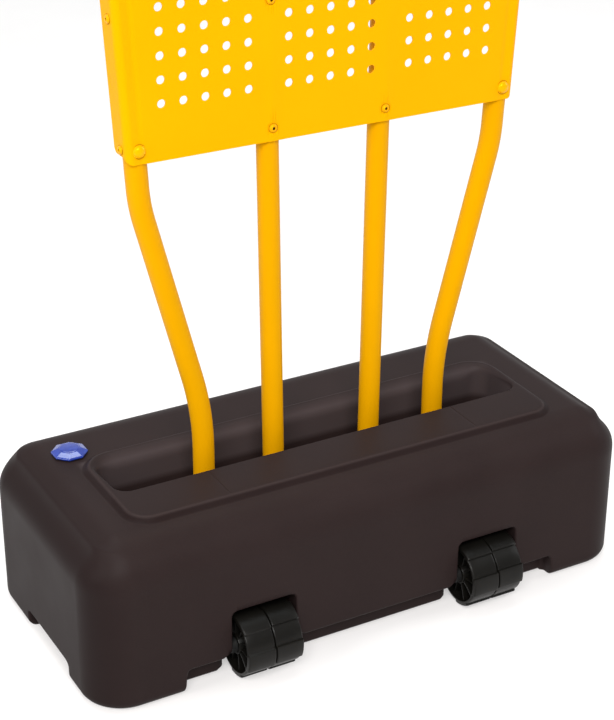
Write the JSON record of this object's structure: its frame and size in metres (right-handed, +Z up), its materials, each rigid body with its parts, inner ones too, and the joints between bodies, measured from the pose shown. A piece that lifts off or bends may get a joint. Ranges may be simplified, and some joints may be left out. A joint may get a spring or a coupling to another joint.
{
  "type": "free-kick training mannequin on fillable base",
  "caption": "Football training mannequin: perforated panel riveted to bent steel tubes that stand in the long slot of a hollow, fillable plastic base with wheels and a filler cap.",
  "frame": {"origin": "on the ground, under the middle of the whole object's length and depth, wheels included", "axes": "+X along the base's length, +Y from the wheeled front to the back, +Z up"},
  "size_m": [0.774, 0.3805, 1.8038],
  "materials": {
    "tank_plastic": "moulded satin, charcoal",
    "cap_plastic": "gloss, blue",
    "seal_rubber": "matte",
    "wheel_plastic": "semi-gloss, black",
    "spacer_nylon": "moulded",
    "axle_steel": "zinc plated",
    "tube_paint": "powder coat, yellow",
    "plug_rubber": "matte",
    "panel_plastic": "satin, yellow",
    "rivet_aluminium": "painted with the panel",
    "button_paint": "gloss, yellow"
  },
  "bodies": {
    "base": {"base_tank": "tank_plastic", "left_axle": "axle_steel", "left_axle_spacer_inner": "spacer_nylon", "left_axle_spacer_outer": "spacer_nylon", "right_axle": "axle_steel", "right_axle_spacer_inner": "spacer_nylon", "right_axle_spacer_outer": "spacer_nylon"},
    "left_wheel": {"left_wheel_inner_half": "wheel_plastic", "left_wheel_outer_half": "wheel_plastic"},
    "right_wheel": {"right_wheel_inner_half": "wheel_plastic", "right_wheel_outer_half": "wheel_plastic"},
    "cap_seal": {"cap_gasket": "seal_rubber"},
    "cap": {"filler_cap": "cap_plastic"},
    "mannequin": {"corner_button_left": "button_paint", "corner_button_right": "button_paint", "head_loop_tube": "tube_paint", "head_panel": "panel_plastic", "inner_tube_left": "tube_paint", "inner_tube_right": "tube_paint", "leg_plug_inner_left": "plug_rubber", "leg_plug_inner_right": "plug_rubber", "leg_plug_outer_left": "plug_rubber", "leg_plug_outer_right": "plug_rubber", "outer_tube_left": "tube_paint", "outer_tube_right": "tube_paint", "rivet_head_1": "rivet_aluminium", "rivet_head_2": "rivet_aluminium", "rivet_head_3": "rivet_aluminium", "rivet_head_4": "rivet_aluminium", "rivet_inner_left_1": "rivet_aluminium", "rivet_inner_left_2": "rivet_aluminium", "rivet_inner_left_3": "rivet_aluminium", "rivet_inner_left_4": "rivet_aluminium", "rivet_inner_left_5": "rivet_aluminium", "rivet_inner_left_6": "rivet_aluminium", "rivet_inner_right_1": "rivet_aluminium", "rivet_inner_right_2": "rivet_aluminium", "rivet_inner_right_3": "rivet_aluminium", "rivet_inner_right_4": "rivet_aluminium", "rivet_inner_right_5": "rivet_aluminium", "rivet_inner_right_6": "rivet_aluminium", "rivet_side_left_1": "rivet_aluminium", "rivet_side_left_2": "rivet_aluminium", "rivet_side_left_3": "rivet_aluminium", "rivet_side_left_4": "rivet_aluminium", "rivet_side_left_5": "rivet_aluminium", "rivet_side_right_1": "rivet_aluminium", "rivet_side_right_2": "rivet_aluminium", "rivet_side_right_3": "rivet_aluminium", "rivet_side_right_4": "rivet_aluminium", "rivet_side_right_5": "rivet_aluminium", "torso_panel": "panel_plastic"}
  },
  "joints": [
    {"name": "left_wheel_spin", "type": "hinge", "parent": "base", "child": "left_wheel", "pos_m": [-0.1635, -0.1485, 0.044], "axis": [1, 0, 0], "continuous": true},
    {"name": "right_wheel_spin", "type": "hinge", "parent": "base", "child": "right_wheel", "pos_m": [0.1635, -0.1485, 0.044], "axis": [1, 0, 0], "continuous": true},
    {"name": "cap_lift", "type": "slide", "parent": "base", "child": "cap_seal", "axis": [0, 0, 1], "range_m": [0, 0.0161]},
    {"name": "cap_turn", "type": "hinge", "parent": "cap_seal", "child": "cap", "pos_m": [-0.307, 0.0955, 0.2207], "axis": [0, 0, 1], "range_deg": [0, 1440]},
    {"name": "mannequin_lift", "type": "slide", "parent": "base", "child": "mannequin", "axis": [0, 0, 1], "range_m": [0, 0.25]}
  ],
  "couplings": [
    {"joint": "cap_lift", "follows": "cap_turn", "m_per_rad": 0.00063662}
  ]
}
